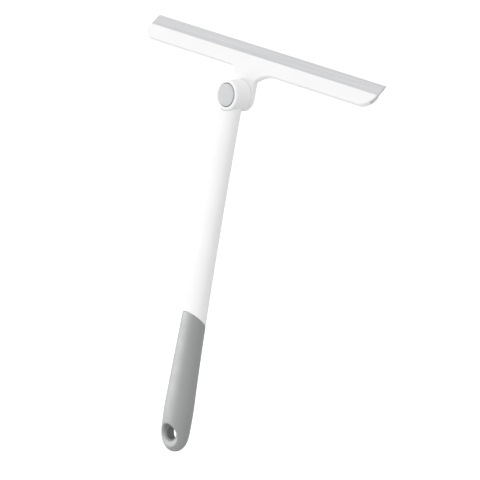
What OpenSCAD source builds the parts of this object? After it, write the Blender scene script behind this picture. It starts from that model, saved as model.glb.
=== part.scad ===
// Window cleaning squeegee with a push-button swivel head.
// Millimetres. The origin is on the axis of the hang hole, in the plane of the stem's centre line.
// +X runs along the blade, +Y up the handle to the head, +Z out of the button.

/* [Blade] */
// Length of the rubber strip
blade_len = 300; // [240:1:360]
// How far the rubber stands out of the plate
blade_reach = 11.6; // [8:0.1:14]
// Thickness of the rubber where it is clamped
blade_t = 2; // [1.6:0.1:2.1]
// Thickness of the rubber at its wiping edge
blade_tip_t = 1.2; // [0.8:0.1:1.4]

/* [Head] */
// Backward tilt of the plate from the handle's direction, in degrees
plate_tilt = 41; // [35:1:50]
// Height of the bend line above the swivel axis
bend_h = 17; // [16:0.1:19]
// Distance from the bend line to the plate's lower edge
plate_low = 9.3; // [9:0.1:10]
// Distance from the bend line to the plate's upper lip
plate_high = 23.4; // [23:0.1:26]
// Thickness of the closed plate
plate_t = 4.6; // [4.5:0.1:5]
// Thickness of the plate's front wall
front_wall = 1.2; // [1:0.1:1.4]
// Radius of the plate's lower corners
corner_r = 12.5; // [8:0.5:12.5]
// Radius of the fillets between neck and plate
neck_fillet = 15; // [12:0.5:18]

/* [Swivel] */
// Height of the swivel axis above the hang hole
swivel_y = 305; // [250:1:360]
// Radius of the drum
hub_r = 13.7; // [13.7:0.1:15]
// Length of the drum
hub_len = 17; // [17:0.1:18]
// Thickness of the head's round ear
ear_t = 4.9; // [4.9:0.1:6]
// How far the button stands out of the drum
button_out = 1; // [0.8:0.1:1.2]
// Radius of the button
button_r = 10; // [9.6:0.1:10.1]
// Travel of the button
press_travel = 3.5; // [3:0.1:3.5]
// Number of click positions in a full turn
click_count = 24; // [12:12:24]

/* [Handle] */
// Half width of the stem at the drum
stem_a = 10.8; // [10:0.1:11.5]
// Half depth of the stem at the drum
stem_b = 8.2; // [7.8:0.1:8.4]
// Half width of the grip at its belly
belly_a = 15.6; // [14:0.1:17]
// Half depth of the grip at its belly
belly_b = 10.85; // [10:0.05:12]
// Height of the grip's upper edge, at the centre of its slant
grip_top = 103; // [90:1:140]
// Radius of the hang hole
hang_r = 6.25; // [5:0.05:6.5]

/* [Hidden] */
$fn = 96;
tiny = 0.01;
running_gap = 0.06;

// Heights along the swivel axis, measured from the ear's front face
seam_z = -8.9;
seam_gap = 0.3;
ring_top = 6.4;
teeth_low = 6.6;
web_low = 10.8;
web_high = 12.4;
boss_low = 10.1;
boss_high = 13;
gear_high = ring_top + press_travel;
gear_low = gear_high - 6;
floor_low = -2;
floor_high = -0.4;
washer_high = floor_low - 0.1;
washer_low = washer_high - 0.7;
head_high = washer_low - 0.5;
head_low = head_high - 1.6;
button_top = hub_len + button_out;
button_under = button_top - 1.3;
skirt_low = button_top - 2;

// Radii about the swivel axis
ring_r = 11;
gear_root_r = 8.3;
gear_tip_r = 9.3;
tooth_play = 0.1;
boss_r = 4.4;
insert_r = 3.1;
sleeve_r = 3;
bolt_r = 2;
bolt_play = 0.05;
bolt_head_r = 3.6;
hex_r = 1.4;
hex_deep = 1;
spring_washer_r = 4.2;
washer_r = 5.6;
spring_pocket = 4;
spring_pocket_r = 6.4;
spring_r = 5;
spring_wire_r = 0.35;
spring_turns = 5;
cap_r = 7.6;
cap_round = 0.7;
recess_r = 6.8;
rim_fillet = 1.6;
cavity_r = 10.6;
window_in = 5.2;
window_out = 7.9;
window_angle = 50;
stop_angle = 5;
swivel_limit = 90;
stop_in = 10;
stop_deep = 1.2;

// Layers of the plate, as depths behind its front face
shell_t = plate_t - front_wall - blade_t;
tip_u = plate_high + blade_reach;
tip_taper = 5;
bead_w = 3;
bead_h = 0.6;
shell_low = plate_low + 2.2;
bed_low = shell_low + 3.2;
lip_gap = 0.1;
screw_u = shell_low + 1.5;
screw_head_r = 1.5;
screw_head_t = 0.7;
screw_shank_r = 0.8;
screw_len = 2.9;
screw_pitch = 50;
screw_count = 6;
neck_step = 0.15;

// Hollow handle
sleeve_t = 1.8;
stem_wall = 1.8;
fit_gap = 0.05;
saddle_gap = 0.15;
stem_low = 14;
stem_heights = [265, 225, 185, 150, 128];
core_heights = [85, 65, 45, 25];
sides = 40;
taper_top = 265;
taper_len = 240;
belly_y = 25;
tail_r = 17.2;
tail_power = 2.6;
tail_drop = 1.2;
grip_slant = 7;
edge_gap = 0.15;
plug_len = 9;
plug_r = 8.2;
plug_z = -tail_drop;
flare_drop = 1.8;
flare_round = 7;
ring_step = 0.7;
spigot_len = 26;
spigot_root = 4;
spigot_a = 8.4;
spigot_b = 5.7;
shank_z = plug_z;
shank_low = 6;
shank_a = 7;
shank_b = 3.8;
core_high = 40;
core_a = 9.6;
core_b = 5.6;

// The handle's section at height y: half width, half depth and centre
function taper(y) = y > taper_top ? 0 : pow((taper_top - max(y, belly_y)) / taper_len, 2);
function tail(y) = y > belly_y ? 1
    : pow(max(0, 1 - pow((belly_y - y) / (belly_y + tail_r), tail_power)), 1 / tail_power);
function half_a(y) = (y < 0 ? sqrt(max(0, 1 - pow(y / tail_r, 2))) : 1)
    * (stem_a + (belly_a - stem_a) * taper(y));
function half_b(y) = (stem_b + (belly_b - stem_b) * taper(y)) * tail(y);
function centre_z(y) = y > grip_top ? 0 : -tail_drop * pow((grip_top - y) / grip_top, 2);

// A ring of points around the handle at height y, drawn in by inset and slanted by slant
function ring_y(y, slant, angle) = y + slant * sin(angle);
function ring(y, inset = 0, slant = 0) = [for (i = [0:sides - 1]) let (
    angle = 360 * i / sides, h = ring_y(y, slant, angle),
    a = half_a(h) - inset, b = half_b(h) - inset)
    [a * cos(angle), h, centre_z(h) + b * sin(angle)]];

// The slant of a drawn-in ring that lies in the same plane as the grip's slanted edge
function core_slant(inset) = grip_slant * (1 - inset / half_b(grip_top));

// The stem's upper end, cut to sit on the drum
function saddle(inset) = [for (i = [0:sides - 1]) let (
    angle = 360 * i / sides, x = (stem_a - inset) * cos(angle))
    [x, swivel_y - sqrt(pow(hub_r + saddle_gap, 2) - x * x), (stem_b - inset) * sin(angle)]];

// A solid through a list of rings, closed at its ends or, for a tube, joined end to end
module loft(rings, tube = false) {
    n = len(rings);
    spans = tube ? n : n - 1;
    sheet = [for (k = [0:spans - 1], i = [0:sides - 1]) let (
        j = (i + 1) % sides, m = (k + 1) % n)
        each [[k * sides + i, m * sides + j, k * sides + j],
              [k * sides + i, m * sides + i, m * sides + j]]];
    // Each end is a fan about the middle of its ring
    hubs = tube ? [] : [middle(rings[0]), middle(rings[n - 1])];
    caps = tube ? [] : [for (i = [0:sides - 1]) let (j = (i + 1) % sides)
        each [[n * sides, i, j], [n * sides + 1, (n - 1) * sides + j, (n - 1) * sides + i]]];
    polyhedron(points = concat([for (r = rings, p = r) p], hubs), faces = concat(sheet, caps),
        convexity = 4);
}

function middle(points) = [for (axis = [0:2]) sum_of([for (p = points) p[axis]]) / len(points)];
function sum_of(values) = values * [for (v = values) 1];

// Places a shape on the swivel axis, with z measured from the ear's front face
module at_swivel() {
    translate([0, swivel_y, seam_z]) children();
}

// Places a shape on the plate, y up from the bend line and z out of its front face
module on_plate() {
    at_swivel() translate([0, bend_h, 0]) rotate([-plate_tilt, 0, 0]) children();
}

// A round shape between two heights
module disc(r, low, high) {
    translate([0, 0, low]) cylinder(r = r, h = high - low);
}

module tube(r_out, r_in, low, high) {
    difference() {
        disc(r_out, low, high);
        disc(r_in, low - 1, high + 1);
    }
}

// A wedge about the z axis, centred on an angle
module wedge(angle, half, r, low, high) {
    translate([0, 0, low]) linear_extrude(high - low)
        polygon([[0, 0], for (k = [-2:2]) r * [cos(angle + k * half / 2), sin(angle + k * half / 2)]]);
}

// A round outline with teeth, grown by play
module toothed_outline(play) {
    pitch = 360 / click_count;
    root = gear_root_r + play;
    tip = gear_tip_r + play;
    grow = play / gear_tip_r * 180 / PI;
    polygon([for (i = [0:click_count - 1]) each [
        root * [cos((i - 0.27) * pitch - grow), sin((i - 0.27) * pitch - grow)],
        tip * [cos((i - 0.17) * pitch - grow), sin((i - 0.17) * pitch - grow)],
        tip * [cos((i + 0.17) * pitch + grow), sin((i + 0.17) * pitch + grow)],
        root * [cos((i + 0.27) * pitch + grow), sin((i + 0.27) * pitch + grow)]]]);
}

// The space for the toothed spool between two heights
module tooth_space(low, high) {
    translate([0, 0, low]) linear_extrude(high - low) toothed_outline(tooth_play);
}

// A bar with round sides along y, for what plugs into the hollow stem
module flat_bar(half_width, r, low, high) {
    translate([0, high, 0]) rotate([90, 0, 0]) linear_extrude(high - low) {
        for (side = [-1, 1])
            translate([side * (half_width - r), 0]) circle(r);
        square([2 * (half_width - r), 2 * r], center = true);
    }
}

// The drum at the top of the handle, toothed inside, with a spigot for the stem
module hub_housing() color("white") at_swivel() {
    difference() {
        union() {
            rotate_extrude() {
                translate([0, seam_gap]) square([hub_r, hub_len - seam_gap - rim_fillet]);
                translate([0, hub_len - rim_fillet - tiny]) square([hub_r - rim_fillet, rim_fillet + tiny]);
                translate([hub_r - rim_fillet, hub_len - rim_fillet]) circle(rim_fillet);
            }
            translate([0, -hub_r, -seam_z]) flat_bar(spigot_a, spigot_b, -spigot_len, spigot_root);
        }
        disc(ring_r + running_gap, -1, teeth_low - 0.1);
        tooth_space(teeth_low - 0.2, web_low);
        disc(cavity_r, web_high, hub_len + 1);
        for (k = [0:2])
            intersection() {
                tube(window_out, window_in, web_low - 1, web_high + 1);
                wedge(90 + 120 * k, window_angle / 2, 2 * window_out, web_low - 1, web_high + 1);
            }
        disc(insert_r, web_low - 1, web_high + 1);
    }
    tube(boss_r, insert_r, boss_low, boss_high);
    // Stop block between the ends of the head's groove
    intersection() {
        tube(ring_r + 1, stop_in, ring_top - stop_deep + 0.2, teeth_low);
        wedge(-90, stop_angle, 2 * ring_r, 0, hub_len);
    }
}

function upward(list) = [for (k = [len(list) - 1:-1:0]) list[k]];

// The hollow stem, full size down to the grip and drawn in under it
module stem_tube() color("white") {
    loft(concat(
        [saddle(0)],
        [for (y = stem_heights) ring(y)],
        [ring(grip_top, 0, grip_slant)],
        [ring(grip_top, sleeve_t, core_slant(sleeve_t))],
        [for (y = core_heights) ring(y, sleeve_t)],
        [ring(stem_low, sleeve_t)],
        [ring(stem_low, sleeve_t + stem_wall)],
        [for (y = upward(core_heights)) ring(y, sleeve_t + stem_wall)],
        [ring(grip_top, sleeve_t + stem_wall, core_slant(sleeve_t + stem_wall))],
        [for (y = upward(stem_heights)) ring(y, stem_wall)],
        [saddle(stem_wall)]), tube = true);
}

// The soft grip over the stem's lower end, with the flared hang hole
module grip_sleeve() color("darkgray") {
    body = [92, 75, 58, 40, 25, 15, 7, 0, -6, -10, -13, -15, -16.3, -tail_r + 0.2];
    inner = sleeve_t - fit_gap;
    difference() {
        loft(concat([ring(grip_top - edge_gap, 0, grip_slant)], [for (y = body) ring(y)]));
        loft(concat([ring(grip_top + 1, inner, core_slant(inner))],
                    [ring(grip_top, inner, core_slant(inner))],
                    [for (y = core_heights) ring(y, inner)],
                    [ring(stem_low - fit_gap, inner)]));
        plug_shape(fit_gap);
        disc(plug_r - ring_step, -20, 20);
        for (side = [0, 1])
            translate([0, -flare_drop, plug_z]) mirror([0, 0, side]) flare();
    }
}

// The flared mouth of the hang hole, from the hard ring out to the grip's surface
module flare() {
    low = plug_len / 2;
    reach = plug_r - ring_step + flare_round;
    rotate_extrude() difference() {
        translate([0, low]) square([reach, flare_round]);
        translate([reach, low]) circle(flare_round);
    }
}

// The hard core of the tail: a ring round the hang hole and a shank in the stem
module plug_shape(play = 0) {
    disc(plug_r + play, plug_z - plug_len / 2 - play, plug_z + plug_len / 2 + play);
    translate([0, 0, shank_z]) flat_bar(shank_a + play, shank_b + play, shank_low, stem_low + 1);
}

module tail_plug() color("gray") difference() {
    union() {
        plug_shape();
        translate([0, 0, shank_z]) flat_bar(core_a, core_b, stem_low, core_high);
    }
    disc(hang_r, -30, 30);
}

// Brass insert in the drum's boss
module threaded_insert() color("goldenrod") at_swivel()
    tube(insert_r, bolt_r + bolt_play, boss_low, boss_high - 0.2);

// The bush that the head turns on, clamped between the drum's boss and the washers
module pivot_sleeve() color("silver") at_swivel()
    tube(sleeve_r, bolt_r + bolt_play, washer_high, boss_low);

// The bolt that holds head and drum together
module pivot_bolt() color("silver") at_swivel() difference() {
    union() {
        disc(bolt_r, head_high - 0.2, boss_high - 0.4);
        disc(bolt_head_r, head_low, head_high);
    }
    translate([0, 0, head_low - 0.1]) cylinder(r = hex_r, h = hex_deep + 0.1, $fn = 6);
}

module spring_washer() color("silver") at_swivel()
    tube(spring_washer_r, bolt_r + bolt_play, head_high, washer_low);

module retaining_washer() color("silver") at_swivel()
    tube(washer_r, bolt_r + bolt_play, washer_low, washer_high);

// The coil spring between the ear's floor and the spool
module return_spring() color("silver") at_swivel() {
    low = floor_high + spring_wire_r;
    high = gear_low + spring_pocket - spring_wire_r;
    steps_per_turn = 14;
    steps = spring_turns * steps_per_turn;
    around = 6;
    rings = [for (i = [0:steps]) let (
        angle = 360 * i / steps_per_turn, z = low + (high - low) * i / steps)
        [for (k = [0:around - 1]) let (
            turn = 360 * k / around, r = spring_r + spring_wire_r * cos(turn))
            [r * cos(angle), r * sin(angle), z + spring_wire_r * sin(turn)]]];
    polyhedron(
        points = [for (r = rings, p = r) p],
        faces = concat(
            [for (i = [0:steps - 1], k = [0:around - 1]) let (m = (k + 1) % around)
                each [[i * around + k, (i + 1) * around + k, (i + 1) * around + m],
                      [i * around + k, (i + 1) * around + m, i * around + m]]],
            [[for (k = [0:around - 1]) k], [for (k = [around - 1:-1:0]) steps * around + k]]),
        convexity = 10);
}

// The button, with three legs that reach through the drum's web
module push_button() color("lightgray") at_swivel() {
    rotate_extrude() {
        translate([0, button_under]) square([button_r - 0.5, button_top - button_under]);
        translate([button_r - 1.4, skirt_low]) square([1.4, button_top - skirt_low - 0.5]);
        translate([button_r - 0.5, button_top - 0.5]) circle(0.5);
    }
    for (k = [0:2]) intersection() {
        union() {
            tube(window_out - 0.3, window_in + 0.3, gear_high, button_under + tiny);
            tube(window_out - 0.3, window_in - 0.3, gear_high, web_low - 0.1);
        }
        wedge(90 + 120 * k, window_angle / 2 - 3, 2 * window_out, gear_high, button_top);
    }
}

// The toothed spool that locks the head to the drum
module lock_gear() color("gainsboro") at_swivel() difference() {
    translate([0, 0, gear_low]) linear_extrude(gear_high - gear_low) toothed_outline(0);
    disc(spring_pocket_r, gear_low - 1, gear_low + spring_pocket);
    disc(sleeve_r + 0.2, gear_low - 1, gear_high + 1);
}

// The plate's outline, with round lower corners
module plate_outline() {
    half = blade_len / 2;
    intersection() {
        translate([-half, plate_low]) square([2 * half, plate_high - plate_low]);
        union() {
            translate([-half, plate_low + corner_r]) square([2 * half, plate_high]);
            translate([corner_r - half, 0]) square([2 * (half - corner_r), 2 * plate_high]);
            for (side = [-1, 1])
                translate([side * (half - corner_r), plate_low + corner_r]) circle(corner_r);
        }
    }
}

// The neck's outline as if the head were flat, between two heights above the swivel axis.
// It flares into the plate's lower edge in two round fillets, and is narrower by inset.
module neck_outline(from, to, inset = 0) {
    top = bend_h + plate_low;
    reach = hub_r + neck_fillet - inset;
    intersection() {
        translate([-reach, from]) square([2 * reach, to - from]);
        difference() {
            translate([-reach, 0]) square([2 * reach, top + tiny]);
            for (side = [-1, 1]) {
                translate([side * reach, top - neck_fillet]) circle(neck_fillet);
                translate([side * reach - neck_fillet, -tiny])
                    square([2 * neck_fillet, top - neck_fillet + tiny]);
            }
        }
    }
}

// The front half of the head: ear, neck and plate
module head_frame() color("white") {
    at_swivel() difference() {
        union() {
            translate([0, 0, -ear_t]) linear_extrude(ear_t) circle(hub_r);
            neck_lower();
            disc(ring_r, -tiny, ring_top);
        }
        tooth_space(floor_high, ring_top + 1);
        disc(sleeve_r + running_gap, floor_low - 1, floor_high + 1);
        disc(recess_r, -ear_t - 1, floor_low);
        // Groove for the drum's stop block
        intersection() {
            tube(ring_r + 1, stop_in - 0.1, ring_top - stop_deep, ring_top + 1);
            wedge_groove();
        }
    }
    neck_upper();
    on_plate() difference() {
        translate([0, 0, -plate_t]) linear_extrude(plate_t) plate_outline();
        // Bed of the rubber, and the wider seat of the back shell behind it
        translate([-blade_len, bed_low, -plate_t - 1])
            cube([2 * blade_len, plate_high, plate_t + 1 - front_wall]);
        translate([-blade_len, shell_low, -plate_t - 1])
            cube([2 * blade_len, plate_high, 1 + shell_t]);
        screw_rows(screw_shank_r, screw_len);
    }
}

// The neck below the bend
module neck_lower() intersection() {
    translate([0, 0, -ear_t]) linear_extrude(ear_t) neck_outline(0, bend_h + 1);
    bend_half(-1);
}

// The neck above the bend, a little narrower than the part that it grows out of
module neck_upper() intersection() {
    on_plate() translate([0, -bend_h, -plate_t]) linear_extrude(plate_t)
        neck_outline(bend_h - 1, bend_h + plate_low + tiny, neck_step);
    at_swivel() bend_half(1);
}

// All space on one side of the plane that halves the bend
module bend_half(side) {
    translate([0, bend_h, 0]) rotate([-plate_tilt / 2, 0, 0])
        translate([-blade_len, (side - 1) * blade_len, -blade_len]) cube(2 * blade_len);
}

// The groove's sweep, wide enough for the block at both ends of the swivel
module wedge_groove() {
    half = swivel_limit + stop_angle + 1;
    linear_extrude(ring_top + 2)
        polygon([[0, 0], for (k = [-8:8]) 2 * ring_r * [cos(-90 + k * half / 8), sin(-90 + k * half / 8)]]);
}

module screw_rows(r, depth) {
    for (k = [0:screw_count - 1])
        translate([(k - (screw_count - 1) / 2) * screw_pitch, screw_u, -plate_t - tiny])
            cylinder(r = r, h = depth);
}

// The rubber strip, thinner at its wiping edge and beaded at its root
module squeegee_blade() color("lightgray") on_plate() {
    low = bed_low + lip_gap;
    front = -front_wall - tiny;
    back = -front_wall - blade_t;
    tip_inset = (blade_t - blade_tip_t) / 2;
    intersection() {
        rotate([90, 0, 90]) translate([0, 0, -blade_len]) linear_extrude(2 * blade_len) polygon([
            [low, front], [tip_u - tip_taper, front], [tip_u, front - tip_inset],
            [tip_u, back + tip_inset], [tip_u - tip_taper, back],
            [low + bead_w, back], [low + bead_w, back - bead_h], [low, back - bead_h]]);
        // Its lower corners follow the plate's
        translate([0, 0, -plate_t]) linear_extrude(plate_t) {
            plate_outline();
            translate([-blade_len / 2, plate_high - tiny]) square([blade_len, 2 * blade_reach]);
        }
    }
}

// The cover that clamps the rubber from behind
module head_back_shell() color("white") on_plate() difference() {
    translate([0, 0, -plate_t]) linear_extrude(shell_t - fit_gap) intersection() {
        plate_outline();
        translate([-blade_len, shell_low + fit_gap]) square([2 * blade_len, plate_high]);
    }
    translate([-blade_len, bed_low, -front_wall - blade_t - bead_h - 0.1])
        cube([2 * blade_len, bead_w + 3 * lip_gap, 2 * bead_h]);
    screw_rows(screw_shank_r, screw_len);
    screw_rows(screw_head_r, screw_head_t);
}

// The screws of the back shell, one group
module shell_screws() color("silver") on_plate() {
    screw_rows(screw_head_r - fit_gap, screw_head_t);
    screw_rows(screw_shank_r - fit_gap, screw_len);
}

// The cap over the bolt head, behind the ear
module rear_cap() color("white") at_swivel() rotate([180, 0, 0]) {
    rotate_extrude() {
        translate([0, ear_t]) square([cap_r - cap_round, 2 * cap_round]);
        translate([0, ear_t]) square([cap_r, cap_round]);
        translate([cap_r - cap_round, ear_t + cap_round]) circle(cap_round);
    }
    tube(recess_r - fit_gap, recess_r - 0.8, 1 - floor_low, ear_t + tiny);
}

hub_housing();
stem_tube();
grip_sleeve();
tail_plug();
threaded_insert();
pivot_sleeve();
pivot_bolt();
spring_washer();
retaining_washer();
return_spring();
push_button();
lock_gear();
head_frame();
squeegee_blade();
head_back_shell();
shell_screws();
rear_cap();
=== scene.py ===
"""Looks of the window squeegee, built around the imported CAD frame. Lengths here are millimetres in the
frame's own axes, and become metres where a mesh is made."""

import math

import bmesh
import bpy
from mathutils import Matrix, Vector


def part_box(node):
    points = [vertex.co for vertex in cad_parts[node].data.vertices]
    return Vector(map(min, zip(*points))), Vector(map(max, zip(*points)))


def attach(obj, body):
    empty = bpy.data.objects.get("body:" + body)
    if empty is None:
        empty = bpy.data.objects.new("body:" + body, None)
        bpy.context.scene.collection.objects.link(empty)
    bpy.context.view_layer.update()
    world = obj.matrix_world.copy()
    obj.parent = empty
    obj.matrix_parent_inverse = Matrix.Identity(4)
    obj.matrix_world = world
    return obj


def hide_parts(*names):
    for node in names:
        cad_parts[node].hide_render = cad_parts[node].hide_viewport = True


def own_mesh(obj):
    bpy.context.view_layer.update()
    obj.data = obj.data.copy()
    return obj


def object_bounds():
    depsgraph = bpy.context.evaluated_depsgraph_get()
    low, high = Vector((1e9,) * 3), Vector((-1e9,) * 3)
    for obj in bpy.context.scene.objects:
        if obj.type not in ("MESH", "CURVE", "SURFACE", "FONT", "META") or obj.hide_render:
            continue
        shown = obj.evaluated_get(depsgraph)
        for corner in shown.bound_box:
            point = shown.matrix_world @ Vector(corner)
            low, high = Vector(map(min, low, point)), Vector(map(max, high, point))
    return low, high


MM = 0.001

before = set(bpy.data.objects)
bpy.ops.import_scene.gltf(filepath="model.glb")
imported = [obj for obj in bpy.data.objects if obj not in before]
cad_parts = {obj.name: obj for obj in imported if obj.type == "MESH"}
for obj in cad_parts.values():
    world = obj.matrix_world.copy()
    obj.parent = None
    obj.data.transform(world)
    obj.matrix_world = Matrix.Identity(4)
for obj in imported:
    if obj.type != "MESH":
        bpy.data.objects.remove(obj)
cad_low, cad_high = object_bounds()


def corner(node, high, axis):
    """One face of a CAD node's box, in millimetres."""
    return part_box(node)[1 if high else 0][axis] / MM


# ---------------------------------------------------------------- sizes
# The swivel, measured along its axis from the front of the head's ear
button_low_y, button_high_y = corner("push_button", 0, 1), corner("push_button", 1, 1)
SWIVEL_Y = (button_low_y + button_high_y) / 2
BUTTON_R = (button_high_y - button_low_y) / 2
HUB_R = corner("hub_housing", 1, 1) - SWIVEL_Y
SEAM_GAP = 0.3
HUB_LEN = 17
SEAM_Z = corner("hub_housing", 1, 2) - HUB_LEN
BUTTON_TOP = corner("push_button", 1, 2) - SEAM_Z
RIM_FILLET = 1.6
CAVITY_R = 10.6
WEB_LOW, WEB_HIGH = 10.8, 12.4
BOSS_LOW, BOSS_HIGH = 10.1, 13
BOSS_R, INSERT_R = 4.4, 3.1
WINDOW_IN, WINDOW_OUT, WINDOW_HALF = 5.2, 7.9, 25
RING_R, RING_TOP = 11, 6.4
TEETH, ROOT_R, TIP_R, TOOTH_PLAY = 24, 8.3, 9.3, 0.1
SPOOL_LOW, SPOOL_HIGH = 3.9, 9.9
POCKET_R, POCKET_TOP = 6.4, 7.9
SLEEVE_R = 3
FLOOR_LOW, FLOOR_HIGH = -2, -0.4
WASHER_LOW, WASHER_MIDDLE, WASHER_HIGH = FLOOR_LOW - 1.3, FLOOR_LOW - 0.8, FLOOR_LOW - 0.1
BOLT_HEAD_R, BOLT_HEAD_LOW, SHANK_R = 3.6, FLOOR_LOW - 2.8, 2
HEX_R, HEX_FLOOR = 1.4, FLOOR_LOW - 1.9
SPRING_WASHER_R, FLAT_WASHER_R = 4.2, 5.6
SPIGOT_A, SPIGOT_B, SPIGOT_LEN, SPIGOT_ROOT = 8.4, 5.7, 26, 2.5
RECESS_R = 6.8
CAP_R = 7.6

# The head: an ear, a neck that bends back, and the plate
EAR_T = 4.9
BEND_H = 17
BEND_R = 6
TILT = math.radians(41)
PLATE_LOW, PLATE_HIGH, PLATE_T = 9.3, 23.4, 4.6
FRONT_WALL = 1.2
CORNER_R = 12.5
NECK_FILLET = 15
HALF_LEN = (corner("squeegee_blade", 1, 0) - corner("squeegee_blade", 0, 0)) / 2
BLADE_T, BLADE_TIP_T, BLADE_REACH = 2, 1.2, 11.6
TIP_U = PLATE_HIGH + BLADE_REACH
SHELL_T = PLATE_T - FRONT_WALL - BLADE_T
SHELL_LOW = PLATE_LOW + 2.2
BED_LOW = SHELL_LOW + 3.2
BEAD_W, BEAD_H = 3, 0.6
SCREW_U, SCREW_PITCH, SCREWS = SHELL_LOW + 1.5, 50, 6

# The handle
STEM_A, STEM_B = 10.8, 8.2
BELLY_A = (corner("grip_sleeve", 1, 0) - corner("grip_sleeve", 0, 0)) / 2
BELLY_B = 10.85
GRIP_TOP, GRIP_SLANT = 103, 7
TAPER_TOP, TAPER_LEN, BELLY_Y = 265, 240, 25
TAIL_R, TAIL_POWER, TAIL_DROP = 17.2, 2.6, 1.2
SLEEVE_T, STEM_WALL, STEM_LOW = 1.8, 1.8, 14
SADDLE_GAP = 0.15
PLUG_LEN, PLUG_R, HANG_R = 9, 8.2, 6.25
SHANK_A, SHANK_B, SHANK_LOW = 7, 3.8, 7.2
TONGUE_A, TONGUE_B, TONGUE_HIGH = 9.6, 5.6, 40
RING_STEP, FLARE_ROUND = 0.7, 7
MOUTH_A, MOUTH_B, MOUTH_DROP = 11, 10.5, 2.3
AROUND = 160


# ---------------------------------------------------------------- places
def in_row(x, y, z):
    return Vector((x, y, z))


def at_swivel(x, y, z):
    """A point measured from the swivel axis, z from the ear's front face."""
    return Vector((x, SWIVEL_Y + y, SEAM_Z + z))


def on_plate(x, u, n):
    """A point on the plate: u up from the bend line, n out of the front face."""
    return at_swivel(
        x,
        BEND_H + u * math.cos(TILT) + n * math.sin(TILT),
        n * math.cos(TILT) - u * math.sin(TILT),
    )


def along_x(u, n, x):
    return on_plate(x, u, n)


def at_ring(x, y, z):
    """A point measured from the middle of the hang hole's ring."""
    return in_row(x, y, z - TAIL_DROP)


# ---------------------------------------------------------------- mesh helpers
def make(name, points, faces, place=in_row):
    """A mesh object from points in millimetres and faces as point numbers."""
    mesh = bpy.data.meshes.new(name)
    mesh.from_pydata([place(*p) * MM for p in points], [], faces)
    bm = bmesh.new()
    bm.from_mesh(mesh)
    bmesh.ops.remove_doubles(bm, verts=bm.verts, dist=1e-7)
    bmesh.ops.recalc_face_normals(bm, faces=bm.faces)
    bm.to_mesh(mesh)
    bm.free()
    piece = bpy.data.objects.new(name, mesh)
    bpy.context.scene.collection.objects.link(piece)
    return piece


def rounded(points, radii, steps=6):
    """A closed outline with its corners rounded."""
    out = []
    count = len(points)
    for i, (p, r) in enumerate(zip(points, radii)):
        here = Vector(p)
        if r == 0:
            out.append(tuple(here))
            continue
        a = (Vector(points[i - 1]) - here).normalized()
        b = (Vector(points[(i + 1) % count]) - here).normalized()
        half = math.acos(max(-1, min(1, a.dot(b)))) / 2
        centre = here + (a + b).normalized() * (r / math.sin(half))
        start = here + a * (r / math.tan(half)) - centre
        end = here + b * (r / math.tan(half)) - centre
        turn = math.atan2(start.x * end.y - start.y * end.x, start.dot(end))
        for k in range(steps + 1):
            c, s = math.cos(turn * k / steps), math.sin(turn * k / steps)
            out.append((centre.x + c * start.x - s * start.y, centre.y + s * start.x + c * start.y))
    return out


def revolve(name, profile, place=at_swivel, steps=128):
    """A solid of revolution about z from a closed outline of (radius, height)."""
    count = len(profile)
    points = []
    for k in range(steps):
        c, s = math.cos(2 * math.pi * k / steps), math.sin(2 * math.pi * k / steps)
        points += [(r * c, r * s, z) for r, z in profile]
    faces = []
    for k in range(steps):
        m = (k + 1) % steps
        for i in range(count):
            j = (i + 1) % count
            if profile[i][0] > 1e-9 or profile[j][0] > 1e-9:
                faces.append((k * count + i, m * count + i, m * count + j, k * count + j))
    return make(name, points, faces, place)


def inset_outline(outline, amount):
    """An outline drawn inwards by amount, its points kept."""
    count = len(outline)
    area = sum(
        outline[i - 1][0] * outline[i][1] - outline[i][0] * outline[i - 1][1] for i in range(count)
    )
    side = 1 if area > 0 else -1
    out = []
    for i in range(count):
        here = Vector(outline[i])
        d1 = (here - Vector(outline[i - 1])).normalized()
        d2 = (Vector(outline[(i + 1) % count]) - here).normalized()
        n1, n2 = Vector((-d1.y, d1.x)) * side, Vector((-d2.y, d2.x)) * side
        out.append(tuple(here + (n1 + n2) * (amount / (1 + n1.dot(n2)))))
    return out


def slab(name, outline, low, high, low_round=0, high_round=0, place=in_row, steps=5):
    """An outline made solid between two heights, its two rims rounded."""
    levels = []
    for k in range(steps + 1) if low_round else [steps]:
        t = math.pi / 2 * k / steps
        levels.append((low_round * (1 - math.sin(t)), low + low_round * (1 - math.cos(t))))
    for k in range(steps + 1) if high_round else [0]:
        t = math.pi / 2 * k / steps
        levels.append((high_round * (1 - math.cos(t)), high - high_round * (1 - math.sin(t))))
    count = len(outline)
    points = []
    for inset, z in levels:
        points += [(x, y, z) for x, y in (inset_outline(outline, inset) if inset else outline)]
    faces = [tuple(range(count)), tuple(range((len(levels) - 1) * count, len(levels) * count))]
    for k in range(len(levels) - 1):
        for i in range(count):
            j = (i + 1) % count
            faces.append((k * count + i, k * count + j, (k + 1) * count + j, (k + 1) * count + i))
    return make(name, points, faces, place)


def box_outline(x0, x1, y0, y1):
    return [(x0, y0), (x1, y0), (x1, y1), (x0, y1)]


def apply_modifiers(piece):
    graph = bpy.context.evaluated_depsgraph_get()
    mesh = bpy.data.meshes.new_from_object(piece.evaluated_get(graph))
    piece.modifiers.clear()
    piece.data = mesh


def combine(piece, others, operation):
    """Adds, cuts or keeps what the others share, and removes them."""
    for other in others:
        step = piece.modifiers.new("combine", "BOOLEAN")
        step.operation = operation
        step.solver = "EXACT"
        step.object = other
        apply_modifiers(piece)
        bpy.data.objects.remove(other)
    return piece


def cut(piece, *others):
    return combine(piece, others, "DIFFERENCE")


def add(piece, *others):
    return combine(piece, others, "UNION")


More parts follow.
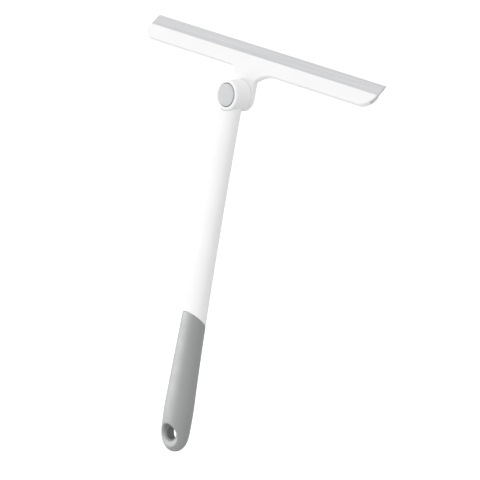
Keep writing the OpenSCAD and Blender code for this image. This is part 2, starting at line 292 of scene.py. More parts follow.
def finish_surface(piece, angle=32):
    """Smooth shading with sharp edges where faces meet at more than an angle in degrees."""
    bm = bmesh.new()
    bm.from_mesh(piece.data)
    bmesh.ops.dissolve_degenerate(bm, edges=bm.edges, dist=1e-7)
    for face in bm.faces:
        face.smooth = True
    for edge in bm.edges:
        edge.smooth = len(edge.link_faces) == 2 and edge.calc_face_angle(0) < math.radians(angle)
    bm.to_mesh(piece.data)
    bm.free()
    weighted = piece.modifiers.new("even_normals", "WEIGHTED_NORMAL")
    weighted.keep_sharp = True
    weighted.weight = 80
    return piece


def stand_for(piece, body, slot_name, material, *nodes):
    """Hands a finished piece over to the frame: body, finish and the CAD nodes it stands for."""
    piece.data.materials.clear()
    piece.data.materials.append(material)
    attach(piece, body)
    if nodes:
        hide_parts(*nodes)


# ---------------------------------------------------------------- the handle's section
def taper(y):
    return 0 if y > TAPER_TOP else ((TAPER_TOP - max(y, BELLY_Y)) / TAPER_LEN) ** 2


def tail(y):
    if y > BELLY_Y:
        return 1
    return max(0, 1 - ((BELLY_Y - y) / (BELLY_Y + TAIL_R)) ** TAIL_POWER) ** (1 / TAIL_POWER)


def half_a(y):
    end = math.sqrt(max(0, 1 - (y / TAIL_R) ** 2)) if y < 0 else 1
    return end * (STEM_A + (BELLY_A - STEM_A) * taper(y))


def half_b(y):
    return (STEM_B + (BELLY_B - STEM_B) * taper(y)) * tail(y)


def centre_z(y):
    return 0 if y > GRIP_TOP else -TAIL_DROP * ((GRIP_TOP - y) / GRIP_TOP) ** 2


def ring(y, inset=0, slant=0):
    """Points round the handle at height y, drawn in by inset and slanted by slant."""
    points = []
    for i in range(AROUND):
        angle = 2 * math.pi * i / AROUND
        h = y + slant * math.sin(angle)
        a, b = max(0, half_a(h) - inset), max(0, half_b(h) - inset)
        points.append((a * math.cos(angle), h, centre_z(h) + b * math.sin(angle)))
    return points


def saddle(gap, inset=0):
    """The stem's upper end, which follows the drum."""
    points = []
    for i in range(AROUND):
        angle = 2 * math.pi * i / AROUND
        x = (STEM_A - inset) * math.cos(angle)
        y = SWIVEL_Y - math.sqrt((HUB_R + gap) ** 2 - x * x)
        points.append((x, y, (STEM_B - inset) * math.sin(angle)))
    return points


def loft(name, rings, tube=False):
    """A solid through rings of points, joined end to end or closed at its ends."""
    points = [p for r in rings for p in r]
    faces = []
    for k in range(len(rings) if tube else len(rings) - 1):
        m = (k + 1) % len(rings)
        for i in range(AROUND):
            j = (i + 1) % AROUND
            faces.append((k * AROUND + i, k * AROUND + j, m * AROUND + j, m * AROUND + i))
    if not tube:
        last = (len(rings) - 1) * AROUND
        faces += [tuple(range(AROUND)), tuple(range(last, last + AROUND))]
    return make(name, points, faces)


def spread(a, b, count):
    return [a + (b - a) * k / (count - 1) for k in range(count)]


# ---------------------------------------------------------------- materials
def node_material(name):
    material = bpy.data.materials.new(name)
    material.use_nodes = True
    nodes, links = material.node_tree.nodes, material.node_tree.links
    shader = nodes["Principled BSDF"]
    coords = nodes.new("ShaderNodeTexCoord")
    return material, nodes, links, shader, coords.outputs["Object"]


def noise(nodes, links, coords, scale, stretch=(1, 1, 1), detail=4):
    """A noise pattern, its scale in features per metre."""
    mapping = nodes.new("ShaderNodeMapping")
    mapping.inputs["Scale"].default_value = stretch
    links.new(coords, mapping.inputs["Vector"])
    pattern = nodes.new("ShaderNodeTexNoise")
    pattern.inputs["Scale"].default_value = scale
    pattern.inputs["Detail"].default_value = detail
    links.new(mapping.outputs["Vector"], pattern.inputs["Vector"])
    return pattern.outputs["Fac"]


def ramp(nodes, links, source, low, high, start=0.3, end=0.7):
    """A pattern turned into a colour between two."""
    mix = nodes.new("ShaderNodeValToRGB")
    mix.color_ramp.elements[0].position = start
    mix.color_ramp.elements[1].position = end
    mix.color_ramp.elements[0].color = (*low, 1)
    mix.color_ramp.elements[1].color = (*high, 1)
    links.new(source, mix.inputs["Fac"])
    return mix.outputs["Color"]


def span(nodes, links, source, low, high):
    """A pattern turned into a number between two."""
    scale = nodes.new("ShaderNodeMapRange")
    scale.inputs["From Min"].default_value = 0.3
    scale.inputs["From Max"].default_value = 0.7
    scale.inputs["To Min"].default_value = low
    scale.inputs["To Max"].default_value = high
    links.new(source, scale.inputs["Value"])
    return scale.outputs["Result"]


def bump(nodes, links, source, shader, height_mm, strength=0.5):
    raised = nodes.new("ShaderNodeBump")
    raised.inputs["Strength"].default_value = strength
    raised.inputs["Distance"].default_value = height_mm * MM
    links.new(source, raised.inputs["Height"])
    links.new(raised.outputs["Normal"], shader.inputs["Normal"])


def grey(level, tint=(1, 1, 1)):
    """A linear colour from an sRGB level out of 255."""
    linear = ((level / 255 + 0.055) / 1.055) ** 2.4
    return tuple(linear * t for t in tint)


def moulded(name, low, high, roughness, tint=(1, 1, 1), texture_mm=0.01, shine=0.1):
    """Moulded plastic: a faint drift of shade, uneven gloss and a fine texture."""
    material, nodes, links, shader, coords = node_material(name)
    drift = noise(nodes, links, coords, 28)
    links.new(ramp(nodes, links, drift, grey(low, tint), grey(high, tint)), shader.inputs["Base Color"])
    gloss = noise(nodes, links, coords, 160)
    links.new(span(nodes, links, gloss, roughness - 0.05, roughness + 0.06), shader.inputs["Roughness"])
    grain = noise(nodes, links, coords, 900, detail=2)
    bump(nodes, links, grain, shader, texture_mm)
    shader.inputs["IOR"].default_value = 1.49
    shader.inputs["Specular IOR Level"].default_value = shine
    return material


def rubber_material():
    """The wiping strip: drawn lengthwise, so it has faint streaks along x."""
    material, nodes, links, shader, coords = node_material("strip_rubber")
    streaks = noise(nodes, links, coords, 700, (0.012, 1, 1), 3)
    low, high = grey(RUBBER - 8, RUBBER_TINT), grey(RUBBER + 7, RUBBER_TINT)
    links.new(ramp(nodes, links, streaks, low, high), shader.inputs["Base Color"])
    cloud = noise(nodes, links, coords, 60, (0.3, 1, 1))
    links.new(span(nodes, links, cloud, 0.5, 0.62), shader.inputs["Roughness"])
    bump(nodes, links, streaks, shader, 0.02)
    shader.inputs["IOR"].default_value = 1.52
    shader.inputs["Specular IOR Level"].default_value = 0.1
    return material


def grip_material():
    """Soft grip rubber: matt, with a fine sandy texture."""
    material, nodes, links, shader, coords = node_material("soft_grip")
    cloud = noise(nodes, links, coords, 22)
    low, high = grey(GRIP - 3, GRIP_TINT), grey(GRIP + 3, GRIP_TINT)
    links.new(ramp(nodes, links, cloud, low, high), shader.inputs["Base Color"])
    patches = noise(nodes, links, coords, 130)
    links.new(span(nodes, links, patches, 0.58, 0.66), shader.inputs["Roughness"])
    sand = noise(nodes, links, coords, 1700, detail=3)
    bump(nodes, links, sand, shader, 0.03, 0.35)
    shader.inputs["IOR"].default_value = 1.9
    return material


def metal(name, low, high, roughness, stretch):
    """Turned metal with fine lines across the stretch."""
    material, nodes, links, shader, coords = node_material(name)
    lines = noise(nodes, links, coords, 2500, stretch, 2)
    links.new(ramp(nodes, links, lines, low, high), shader.inputs["Base Color"])
    links.new(span(nodes, links, lines, roughness - 0.06, roughness + 0.08), shader.inputs["Roughness"])
    bump(nodes, links, lines, shader, 0.006)
    shader.inputs["Metallic"].default_value = 1
    return material


WHITE_LOW, WHITE_HIGH = 242, 245
RUBBER, RUBBER_TINT = 210, (0.97, 0.975, 1)
BUTTON, BUTTON_TINT = 197, (0.97, 0.985, 1)
GRIP, GRIP_TINT = 148, (0.96, 0.995, 1)

white = moulded("white_plastic", WHITE_LOW, WHITE_HIGH, 0.6, shine=0.05)
button_grey = moulded("button_plastic", BUTTON - 3, BUTTON + 3, 0.34, BUTTON_TINT)
core_grey = moulded("core_plastic", 134, 142, 0.45, (0.97, 1, 1), 0.02)
natural = moulded("gear_plastic", 216, 224, 0.42, (1, 0.985, 0.95))
rubber = rubber_material()
soft = grip_material()
steel = metal("bright_steel", (0.5, 0.5, 0.51), (0.66, 0.66, 0.67), 0.24, (1, 1, 0.08))
brass = metal("turned_brass", (0.62, 0.42, 0.17), (0.76, 0.55, 0.25), 0.28, (1, 1, 0.08))


# ---------------------------------------------------------------- shapes on the swivel axis
def disc(name, radius, low, high, place=at_swivel):
    return revolve(name, [(0, low), (radius, low), (radius, high), (0, high)], place)


def arc_prism(name, middle, half, r_in, r_out, low, high, edge=0):
    """A block between two radii over an angle in degrees, its top and bottom rims rounded by edge."""
    inner = [math.radians(middle + half * t) for t in spread(-1, 1, 13)]
    outline = [(r_out * math.cos(a), r_out * math.sin(a)) for a in inner]
    outline += [(r_in * math.cos(a), r_in * math.sin(a)) for a in reversed(inner)]
    return slab(name, outline, low, high, edge, edge, at_swivel, 3)


def tooth_prism(name, play, low, high, edge=0):
    """A prism with round-topped teeth."""
    outline = []
    pitch = 2 * math.pi / TEETH
    tooth = [(-0.27, ROOT_R), (-0.17, TIP_R), (0, TIP_R + 0.08), (0.17, TIP_R), (0.27, ROOT_R)]
    for i in range(TEETH):
        for share, radius in tooth:
            grow = math.copysign(play / TIP_R, share) if share else 0
            angle = (i + share) * pitch + grow
            outline.append(((radius + play) * math.cos(angle), (radius + play) * math.sin(angle)))
    return slab(name, outline, low, high, edge, edge, at_swivel, 2)


def stadium(half_width, r, steps=24):
    """An outline with straight long sides and half-round ends."""
    outline = []
    for side in (1, -1):
        for k in range(steps + 1):
            angle = math.pi * (k / steps - 0.5)
            outline.append((side * (half_width - r + r * math.cos(angle)), side * r * math.sin(angle)))
    return outline


def flat_bar(name, half_width, r, low, high, z):
    """A bar along y with half-round sides."""
    return slab(
        name, stadium(half_width, r), low, high, 0.4, 0.4, lambda x, up, y: in_row(x, y, z + up)
    )


def build_hub():
    """The drum: rounded rim, deep button well, toothed web and the spigot that plugs into the stem."""
    outline = rounded(
        [(0, SEAM_GAP), (HUB_R, SEAM_GAP), (HUB_R, HUB_LEN), (CAVITY_R, HUB_LEN), (CAVITY_R, WEB_HIGH),
         (BOSS_R, WEB_HIGH), (BOSS_R, BOSS_HIGH), (0, BOSS_HIGH)],
        [0, 0.3, RIM_FILLET, 0.35, 0.3, 0.1, 0.15, 0], 8,
    )
    hub = revolve("drum", outline)
    wall_y = SWIVEL_Y - HUB_R
    add(hub, flat_bar("spigot", SPIGOT_A, SPIGOT_B, wall_y - SPIGOT_LEN, wall_y + SPIGOT_ROOT, 0))
    cut(
        hub,
        disc("ring_space", RING_R + 0.06, -1, RING_TOP + 0.1),
        tooth_prism("tooth_space", TOOTH_PLAY, RING_TOP, WEB_LOW),
    )
    for k in range(3):
        middle, low, high = 90 + 120 * k, WEB_LOW - 1, WEB_HIGH + 1
        cut(hub, arc_prism("window", middle, WINDOW_HALF, WINDOW_IN, WINDOW_OUT, low, high))
    add(hub, disc("boss", BOSS_R, BOSS_LOW, WEB_HIGH - 0.5))
    cut(hub, disc("insert_bore", INSERT_R, BOSS_LOW - 1, BOSS_HIGH + 1))
    add(hub, arc_prism("stop_block", -90, 5, 10, RING_R + 1, RING_TOP - 1, 6.6))
    finish_surface(hub)
    stand_for(hub, "handle", "white_plastic", white, "hub_housing")


def build_button():
    """The button: slightly domed face, rounded rim, hollow below, and three legs through the web."""
    under, skirt, rim, wall = BUTTON_TOP - 1.3, BUTTON_TOP - 2, 0.6, 1.4
    dome = 0.25
    face = [(BUTTON_R * t, BUTTON_TOP - dome * t * t) for t in spread(0, (BUTTON_R - rim) / BUTTON_R, 12)]
    edge_top = face[-1][1]
    edge = [
        (BUTTON_R - rim + rim * math.sin(t), edge_top - rim + rim * math.cos(t))
        for t in spread(math.pi / 20, math.pi / 2, 9)
    ]
    inside = BUTTON_R - wall
    below = [(BUTTON_R, skirt), (inside, skirt), (inside, under), (0, under)]
    button = revolve("button", face + edge + below)
    for k in range(3):
        middle, half, r_out = 90 + 120 * k, WINDOW_HALF - 3, WINDOW_OUT - 0.3
        add(button, arc_prism("leg", middle, half, WINDOW_IN + 0.3, r_out, 10.5, under + 0.2))
        add(button, arc_prism("foot", middle, half, WINDOW_IN - 0.3, r_out, SPOOL_HIGH, WEB_LOW - 0.1))
    finish_surface(button)
    stand_for(button, "button", "button_plastic", button_grey, "push_button")


def build_gear():
    """The toothed spool that locks the head."""
    gear = tooth_prism("toothed_spool", 0, SPOOL_LOW, SPOOL_HIGH, 0.12)
    cut(
        gear,
        disc("spring_pocket", POCKET_R, SPOOL_LOW - 1, POCKET_TOP),
        disc("spool_bore", SLEEVE_R + 0.2, SPOOL_LOW - 1, SPOOL_HIGH + 1),
    )
    finish_surface(gear)
    stand_for(gear, "button", "gear_plastic", natural, "lock_gear")


def build_spring():
    """The coil spring under the spool, with closed ends."""
    wire, radius, turns, low, high = 0.35, 5, 5, FLOOR_HIGH, POCKET_TOP
    steps, sides = 40 * turns, 12
    points, faces = [], []
    for i in range(steps + 1):
        share = i / steps
        angle = 2 * math.pi * turns * share
        z = low + wire + (high - low - 2 * wire) * (3 * share * share - 2 * share**3)
        for k in range(sides):
            turn = 2 * math.pi * k / sides
            r = radius + wire * math.cos(turn)
            points.append((r * math.cos(angle), r * math.sin(angle), z + wire * math.sin(turn)))
    for i in range(steps):
        for k in range(sides):
            m = (k + 1) % sides
            faces.append((i * sides + k, (i + 1) * sides + k, (i + 1) * sides + m, i * sides + m))
    faces += [tuple(range(sides)), tuple(range(steps * sides, (steps + 1) * sides))]
    spring = make("coil_spring", points, faces, at_swivel)
    finish_surface(spring, 60)
    stand_for(spring, "handle", "steel", steel, "return_spring")
    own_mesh(spring)


def build_fasteners():
    """Bolt, washers, bush and insert on the swivel axis."""
    bore = 2.05
    end = BOSS_HIGH - 0.4
    bolt = revolve("bolt", rounded(
        [(0, BOLT_HEAD_LOW), (BOLT_HEAD_R, BOLT_HEAD_LOW), (BOLT_HEAD_R, WASHER_LOW),
         (SHANK_R, WASHER_LOW), (SHANK_R, end), (0, end)], [0, 0.5, 0.1, 0.2, 0.4, 0]))
    corners = [math.radians(60 * k) for k in range(6)]
    hexagon = [(HEX_R * math.cos(a), HEX_R * math.sin(a)) for a in corners]
    cut(bolt, slab("socket", hexagon, BOLT_HEAD_LOW - 0.4, HEX_FLOOR, place=at_swivel))
    parts = [(bolt, "steel", steel, "pivot_bolt")]
    for name, r_out, low, high, node in (
        ("bush", SLEEVE_R, WASHER_HIGH, BOSS_LOW, "pivot_sleeve"),
        ("lock_washer", SPRING_WASHER_R, WASHER_LOW, WASHER_MIDDLE, "spring_washer"),
        ("flat_washer", FLAT_WASHER_R, WASHER_MIDDLE, WASHER_HIGH, "retaining_washer"),
    ):
        outline = rounded([(bore, low), (r_out, low), (r_out, high), (bore, high)], [0.08] * 4, 3)
        parts.append((revolve(name, outline), "steel", steel, node))
    low, high = BOSS_LOW, BOSS_HIGH - 0.2
    outline = rounded([(bore, low), (INSERT_R, low), (INSERT_R, high), (bore, high)], [0.15] * 4, 3)
    parts.append((revolve("brass_insert", outline), "brass", brass, "threaded_insert"))
    for piece, slot_name, material, node in parts:
        finish_surface(piece)
        stand_for(piece, "handle", slot_name, material, node)


# ---------------------------------------------------------------- the head
def head_outline():
    """The head as if it were flat: (x, height above the swivel axis), counter-clockwise."""
    top = BEND_H + PLATE_LOW
    reach = HUB_R + NECK_FILLET
    right = [(HUB_R * math.cos(t), HUB_R * math.sin(t)) for t in spread(-math.pi / 2, 0, 40)]
    right += [
        (reach - NECK_FILLET * math.cos(t), top - NECK_FILLET + NECK_FILLET * math.sin(t))
        for t in spread(0, math.pi / 2, 30)
    ]
    right += [(HALF_LEN * k / 10, top) for k in range(3, 10)]
    right += [
        (HALF_LEN - CORNER_R + CORNER_R * math.sin(t), top + CORNER_R - CORNER_R * math.cos(t))
        for t in spread(0, math.pi / 2, 26)
    ]
    right.append((HALF_LEN, BEND_H + PLATE_HIGH))
    left = [(-x, y) for x, y in reversed(right[1:])]
    return right + left


def fold(x, v, d):
    """Bends the flat head at the neck: v is the height, d the depth behind the front face, 0 to 1."""
    reach = BEND_R * math.tan(TILT / 2)
    share = min(1, max(0, (v - BEND_H + reach) / (2 * reach)))
    depth = d * (EAR_T + (PLATE_T - EAR_T) * share)
    if share <= 0:
        return at_swivel(x, v, -depth)
    if share >= 1:
        return on_plate(x, v - BEND_H, -depth)
    angle, r = TILT * share, BEND_R - depth
    return at_swivel(x, BEND_H - reach + r * math.sin(angle), -BEND_R + r * math.cos(angle))


def folded_slab(name, outline, front_round, back_round):
    """The head's solid: rounded rims, sliced across the bend so that it can fold there."""
    flat = slab(name, outline, -EAR_T, 0, back_round, front_round)
    bm = bmesh.new()
    bm.from_mesh(flat.data)
    reach = BEND_R * math.tan(TILT / 2)
    for y in [0, 6] + spread(BEND_H - reach, BEND_H + reach, 11) + [BEND_H + 5]:
        bmesh.ops.bisect_plane(
            bm, geom=bm.verts[:] + bm.edges[:] + bm.faces[:], plane_co=(0, y * MM, 0), plane_no=(0, 1, 0)
        )
    for v in bm.verts:
        v.co = fold(v.co.x / MM, v.co.y / MM, -v.co.z / MM / EAR_T) * MM
    bm.to_mesh(flat.data)
    bm.free()
    return flat


def build_head():
    """The front half of the head, one moulding: ear with toothed ring, bent neck and plate."""
    head = folded_slab("head", head_outline(), 1.0, 0.45)
    add(head, revolve("ring", rounded(
        [(0, -1), (RING_R, -1), (RING_R, RING_TOP), (0, RING_TOP)], [0, 0, 0.2, 0])))
    cut(
        head,
        tooth_prism("tooth_bore", TOOTH_PLAY, FLOOR_HIGH, RING_TOP + 1),
        disc("bush_bore", SLEEVE_R + 0.06, FLOOR_LOW - 1, FLOOR_HIGH + 1),
        disc("bolt_recess", RECESS_R, -EAR_T - 1, FLOOR_LOW),
        arc_prism("stop_groove", -90, 96, 9.9, RING_R + 1, RING_TOP - 1.2, RING_TOP + 1),
    )
    deep = -PLATE_T - 1
    for name, low, high in (("bed", BED_LOW, -FRONT_WALL), ("seat", SHELL_LOW, SHELL_T - PLATE_T)):
        wide = box_outline(-HALF_LEN - 5, HALF_LEN + 5, low, PLATE_HIGH + 5)
        cut(head, slab(name, wide, deep, high, place=on_plate))
    for x in screw_places():
        cut(head, screw_hole(x, 0.8, 2.9))
    finish_surface(head)
    stand_for(head, "head", "white_plastic", white, "head_frame")


def screw_places():
    return [(k - (SCREWS - 1) / 2) * SCREW_PITCH for k in range(SCREWS)]


def screw_hole(x, radius, depth):
    return revolve(
        "screw_hole",
        [(0, -PLATE_T - 1), (radius, -PLATE_T - 1), (radius, depth - PLATE_T), (0, depth - PLATE_T)],
        lambda a, b, n: on_plate(x + a, SCREW_U + b, n),
        32,
    )


def plate_outline(low, inset=0):
    """The plate's outline above a height, drawn in by inset."""
    half = HALF_LEN - inset
    centre_u, r = PLATE_LOW + CORNER_R, CORNER_R - inset
    right = []
    first = math.acos(max(-1, min(1, (centre_u - low) / r)))
    for t in spread(first, math.pi / 2, 20):
        right.append((HALF_LEN - CORNER_R + r * math.sin(t), centre_u - r * math.cos(t)))
    right.append((half, PLATE_HIGH))
    return right + [(-x, u) for x, u in reversed(right)]


def build_back_shell():
    """The cover that clamps the strip from behind, with sunk screws."""
    shell = slab("back_shell", plate_outline(SHELL_LOW + 0.05), -PLATE_T, SHELL_T - 0.05 - PLATE_T, 0.45, 0,
                 on_plate)
    slot_u = box_outline(-HALF_LEN - 5, HALF_LEN + 5, BED_LOW, BED_LOW + BEAD_W + 0.3)
    back = -FRONT_WALL - BLADE_T
    cut(shell, slab("bead_slot", slot_u, back - BEAD_H - 0.1, back + BEAD_H, place=on_plate))
    for x in screw_places():
        cut(shell, screw_hole(x, 0.8, 3), screw_hole(x, 1.5, 0.7))
    finish_surface(shell)
    stand_for(shell, "head", "white_plastic", white, "head_back_shell")


def build_screw(x):
    """One small pan-head screw with a cross recess."""
    head_r, shank_r, head_top, tip = 1.45, 0.75, 0.7 - PLATE_T, 2.9 - PLATE_T

    def place(a, b, n):
        return on_plate(x + a, SCREW_U + b, n)

    outline = rounded(
        [(0, -PLATE_T), (head_r, -PLATE_T), (head_r, head_top), (shank_r, head_top), (shank_r, tip),
         (0, tip)], [0, 0.3, 0, 0, 0.35, 0], 4)
    screw = revolve("screw", outline, place, 40)
    for across in (box_outline(-0.75, 0.75, -0.14, 0.14), box_outline(-0.14, 0.14, -0.75, 0.75)):
        cut(screw, slab("cross", across, -PLATE_T - 1, 0.4 - PLATE_T, place=place))
    return screw


def build_screws():
    """The six screws of the back shell, joined as one piece."""
    screws = None
    for x in screw_places():
        screw = build_screw(x)
        screws = screw if screws is None else add(screws, screw)
    screws.name = "shell_screws_steel"
    finish_surface(screws)
    stand_for(screws, "head", "steel", steel, "shell_screws")


def corner_cutter(side):
    """What lies outside the plate's rounded lower corner, up to the height where it ends."""
    centre_x, centre_u = HALF_LEN - CORNER_R, PLATE_LOW + CORNER_R
    outline = [
        (side * (centre_x + CORNER_R * math.sin(t)), centre_u - CORNER_R * math.cos(t))
        for t in spread(0, math.pi / 2, 24)
    ]
    outline += [(side * (HALF_LEN + 2), centre_u), (side * (HALF_LEN + 2), PLATE_LOW - 2)]
    outline.append((side * centre_x, PLATE_LOW - 2))
    return slab("corner", outline, -PLATE_T - 1, 1, place=on_plate)


def build_strip():
    """The rubber strip: beaded root and a thinner, bevelled wiping edge."""
    front, back = -FRONT_WALL - 0.01, -FRONT_WALL - BLADE_T
    low = BED_LOW + 0.1
    inset = (BLADE_T - BLADE_TIP_T) / 2
    outline = rounded(
        [(low, front), (TIP_U - 5, front), (TIP_U, front - inset), (TIP_U, back + inset), (TIP_U - 5, back),
         (low + BEAD_W, back), (low + BEAD_W, back - BEAD_H), (low, back - BEAD_H)],
        [0.2, 8, 0.12, 0.12, 8, 0.1, 0.15, 0.2], 6,
    )
    strip = slab("rubber_strip", outline, -HALF_LEN, HALF_LEN, 0.08, 0.08, along_x, 2)
    for side in (1, -1):
        cut(strip, corner_cutter(side))
    finish_surface(strip)
    stand_for(strip, "head", "blade_rubber", rubber, "squeegee_blade")


def build_cap():
    """The cap over the bolt head, behind the ear."""
    back = -EAR_T - 1.4
    outline = rounded(
        [(0, back), (CAP_R, back), (CAP_R, -EAR_T), (RECESS_R - 0.05, -EAR_T), (RECESS_R - 0.05, -3),
         (RECESS_R - 0.8, -3), (RECESS_R - 0.8, -EAR_T), (0, -EAR_T)],
        [0, 0.7, 0, 0, 0.2, 0.2, 0, 0], 8,
    )
    cap = revolve("bolt_cap", outline)
    finish_surface(cap)
    stand_for(cap, "head", "white_plastic", white, "rear_cap")


# ---------------------------------------------------------------- the handle
def grip_edge(inset, drop):
    """The slanted boundary between stem and grip."""
    return ring(GRIP_TOP - drop, inset, GRIP_SLANT)


def build_stem():
    """The hollow stem, with a small round where it meets drum and grip."""
    edge = 0.35
    between = [saddle(SADDLE_GAP + edge), grip_edge(0, 0)]
    shape = [saddle(SADDLE_GAP, 0.9 * edge), between[0]]
    for t in spread(0, 1, 60)[1:-1]:
        level = []
        for i, (high, low) in enumerate(zip(*between)):
            angle = 2 * math.pi * i / AROUND
            y = high[1] + (low[1] + edge - high[1]) * t
            level.append((half_a(y) * math.cos(angle), y, centre_z(y) + half_b(y) * math.sin(angle)))
        shape.append(level)
    for t in spread(0, math.pi / 2, 5):
        shape.append(ring(GRIP_TOP + edge * (1 - math.sin(t)), edge * (1 - math.cos(t)), GRIP_SLANT))
    shape.append(ring(GRIP_TOP, SLEEVE_T, GRIP_SLANT))
    shape += [ring(y, SLEEVE_T) for y in spread(88, STEM_LOW, 10)]
    shape += [ring(y, SLEEVE_T + STEM_WALL) for y in spread(STEM_LOW, 88, 10)]
    shape += [ring(y, STEM_WALL + (SLEEVE_T if y < 112 else 0)) for y in spread(111, 270, 14)]
    shape.append(saddle(SADDLE_GAP, STEM_WALL))
    stem = loft("stem", shape, tube=True)
    finish_surface(stem)
    stand_for(stem, "handle", "white_plastic", white, "stem_tube")


def mouth(x, y, z, side):
    """Stretches a round flare out to the oval mouth that the hang hole has on the grip's surface."""
    low, start = PLUG_LEN / 2, PLUG_R - RING_STEP
    r = math.hypot(x, y)
    if r < start:
        return in_row(x, y, side * z - TAIL_DROP)
    c, s, share = x / r, y / r, (r - start) / FLARE_ROUND
    rim_x, rim_y = MOUTH_A * c, MOUTH_B * s - MOUTH_DROP
    surface = half_b(rim_y) * math.sqrt(1 - (rim_x / half_a(rim_y)) ** 2)
    deep = surface + side * (centre_z(rim_y) + TAIL_DROP) - low
    return in_row(
        start * c + (rim_x - start * c) * share,
        start * s + (rim_y - start * s) * share,
        side * (low + (z - low) * deep / FLARE_ROUND) - TAIL_DROP,
    )


def flare_cutter(side):
    """The mouth of the hang hole, as a solid to cut away."""
    low, reach = PLUG_LEN / 2, PLUG_R - RING_STEP + FLARE_ROUND
    outline = [(0, low)]
    outline += [
        (reach - FLARE_ROUND * math.cos(t), low + FLARE_ROUND * math.sin(t))
        for t in spread(0, math.pi / 2, 24)
    ]
    outline += [(reach, low + 40), (0, low + 40)]
    return revolve("flare", outline, lambda x, y, z: mouth(x, y, z, side), 160)


def build_grip():
    """The soft grip: one swelling body, a slanted upper edge and a flared hang hole with a soft rim."""
    edge = 0.5
    rows = [BELLY_Y - (BELLY_Y + TAIL_R) * math.sin(t) for t in spread(math.pi / 2, 0, 60)]
    shape = [ring(max(y, -TAIL_R + 0.2)) for y in rows]
    shape += [ring(y) for y in spread(BELLY_Y, 92, 60)[1:]]
    for t in spread(0, math.pi / 2, 5):
        shape.append(ring(GRIP_TOP - 0.05 - edge * (1 - math.sin(t)), edge * (1 - math.cos(t)), GRIP_SLANT))
    for share in (0.8, 0.6, 0.4, 0.2):
        middle = [(x * share, y, z * share) for x, y, z in ring(GRIP_TOP - 0.05, edge, GRIP_SLANT)]
        shape.append(middle)
    grip = loft("grip", shape)
    for side in (1, -1):
        cut(grip, flare_cutter(side))
    cut(grip, disc("hole", PLUG_R - RING_STEP, -30, 30, in_row))
    remesh = grip.modifiers.new("even_mesh", "REMESH")
    remesh.mode = "VOXEL"
    remesh.voxel_size = 0.42 * MM
    remesh.adaptivity = 0
    apply_modifiers(grip)
    smooth = grip.modifiers.new("soft_edges", "CORRECTIVE_SMOOTH")
    smooth.use_only_smooth = True
    smooth.factor = 0.5
    smooth.iterations = 8
    apply_modifiers(grip)
    inner = SLEEVE_T - 0.05
    cavity = [ring(GRIP_TOP + 4, inner, GRIP_SLANT), ring(GRIP_TOP - 1, inner, GRIP_SLANT)]
    cavity += [ring(y, inner) for y in spread(88, STEM_LOW - 0.05, 12)]
    cut(grip, loft("cavity", cavity))
    play, half = 0.05, PLUG_LEN / 2 + 0.05
    cut(grip, disc("plug_space", PLUG_R + play, -half, half, at_ring))
    cut(grip, flat_bar("shank_space", SHANK_A + play, SHANK_B + play, 3, STEM_LOW + 1, -TAIL_DROP))
    finish_surface(grip, 50)
    stand_for(grip, "handle", "grip_rubber", soft, "grip_sleeve")


def build_plug():
    """The hard ring that lines the hang hole, with its shank in the stem."""
    half = PLUG_LEN / 2
    outline = rounded(
        [(HANG_R, -half), (PLUG_R, -half), (PLUG_R, half), (HANG_R, half)], [0.8, 0.2, 0.2, 0.8], 8
    )
    plug = revolve("hang_ring", outline, at_ring, 160)
    shank = flat_bar("shank", SHANK_A, SHANK_B, SHANK_LOW, STEM_LOW + 1, -TAIL_DROP)
    add(plug, shank, flat_bar("tongue", TONGUE_A, TONGUE_B, STEM_LOW, TONGUE_HIGH, -TAIL_DROP))
    finish_surface(plug)
    stand_for(plug, "handle", "core_plastic", core_grey, "tail_plug")


# ---------------------------------------------------------------- floor, light and camera
def build_floor():
    """A plain pale floor well below the object."""
    z, half = -FLOOR_DEPTH, 12000
    corners = [(-half, -half, z), (half, -half, z), (half, half, z), (-half, half, z)]
    floor = make("floor", corners, [(0, 1, 2, 3)])
    material, nodes, links, shader, coords = node_material("floor_paint")
    tone = noise(nodes, links, coords, 0.4)
    links.new(ramp(nodes, links, tone, (0.78, 0.78, 0.78), (0.81, 0.81, 0.81)), shader.inputs["Base Color"])
    shader.inputs["Roughness"].default_value = 0.9
    floor.data.materials.append(material)


def build_surround():
    """An even pale surround, brighter towards the head's end."""
    world = bpy.data.worlds.new("surround")
    world.use_nodes = True
    nodes, links = world.node_tree.nodes, world.node_tree.links
    coords = nodes.new("ShaderNodeTexCoord")
    split = nodes.new("ShaderNodeSeparateXYZ")
    level = nodes.new("ShaderNodeMapRange")
    level.inputs["From Min"].default_value = -1
    level.inputs["To Min"].default_value = WORLD_LOW
    level.inputs["To Max"].default_value = WORLD_HIGH
    links.new(coords.outputs["Generated"], split.inputs["Vector"])
    links.new(split.outputs["Y"], level.inputs["Value"])
    links.new(level.outputs["Result"], nodes["Background"].inputs["Strength"])
    nodes["Background"].inputs["Color"].default_value = (1, 1, 1, 1)
    bpy.context.scene.world = world


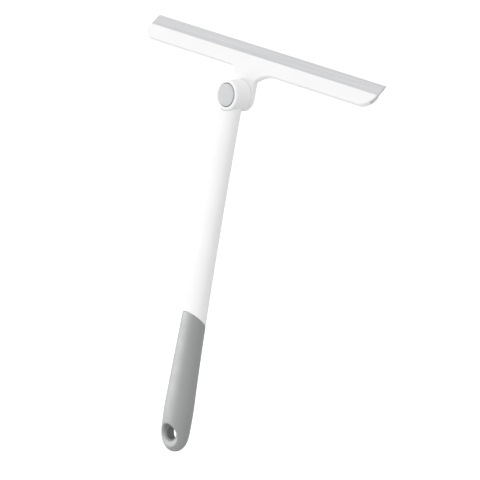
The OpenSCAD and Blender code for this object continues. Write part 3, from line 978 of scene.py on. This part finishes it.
def add_lamp(name, watts, size, place, aim, diffuse=True, glossy=True):
    """A round soft lamp at a place, aimed along the line to another, which may light only one way."""
    lamp = bpy.data.lights.new(name, "AREA")
    lamp.energy = watts
    lamp.shape = "DISK"
    lamp.size = size
    holder = bpy.data.objects.new(name, lamp)
    holder.location = place
    holder.rotation_mode = "QUATERNION"
    holder.rotation_quaternion = (place - aim).to_track_quat("Z", "Y")
    holder.visible_diffuse = diffuse
    holder.visible_glossy = glossy
    bpy.context.scene.collection.objects.link(holder)


def build_lamps(view_back):
    """The lamps on the object, and one below it that whitens the floor seen behind it."""
    for name, watts, size, offset, diffuse, glossy in LAMPS:
        add_lamp(name, watts, size, CENTRE + Vector(offset), CENTRE, diffuse, glossy)
    behind = CENTRE - view_back * (FLOOR_DEPTH * MM / view_back.z)
    add_lamp("floor_lamp", FLOOR_WATTS, 2.4, behind + Vector((0, 0, 0.9)), behind)


def build_camera():
    """Turned about y, then tipped, then rolled, and moved back along its own axis."""
    turn, tip, roll = (math.radians(a) for a in CAMERA_TURNS)
    rows = Matrix.Rotation(roll, 3, "Z") @ Matrix.Rotation(tip, 3, "X") @ Matrix.Rotation(turn, 3, "Y")
    camera = bpy.data.cameras.new("camera")
    camera.sensor_width = 36
    camera.lens = CAMERA_LENS
    camera.clip_start, camera.clip_end = 0.1, 50
    holder = bpy.data.objects.new("camera", camera)
    holder.matrix_world = Matrix.Translation(Vector(CAMERA_PLACE) * MM) @ rows.transposed().to_4x4()
    bpy.context.scene.collection.objects.link(holder)
    bpy.context.scene.camera = holder
    return rows[2]


CENTRE = (cad_low + cad_high) / 2
FLOOR_DEPTH, FLOOR_WATTS = 2000, 16
WORLD_LOW, WORLD_HIGH = 0.51, 1.17
# Each lamp: name, watts, disc size and offset from the centre in metres, whether it lights surfaces
# diffusely, and whether it shows in their gloss
LAMPS = [
    ("key_softbox", 19, 1.6, (-0.94, -0.89, 2.26), True, False),
    ("gloss_panel", 100, 2.1, (-2.2, 0.05, 1.5), False, True),
]
# The camera: turns in degrees about y, x and its own axis, and place and focal length in millimetres
CAMERA_TURNS = (-46.766, 9.871, -9.986)
CAMERA_PLACE = (2560.86, 787.12, 2369.56)
CAMERA_LENS = 303.327

build_hub()
build_button()
build_gear()
build_spring()
build_fasteners()
build_head()
build_back_shell()
build_screws()
build_strip()
build_cap()
build_stem()
build_grip()
build_plug()
build_floor()
build_surround()
build_lamps(build_camera())
bpy.context.scene.view_settings.view_transform = "Standard"
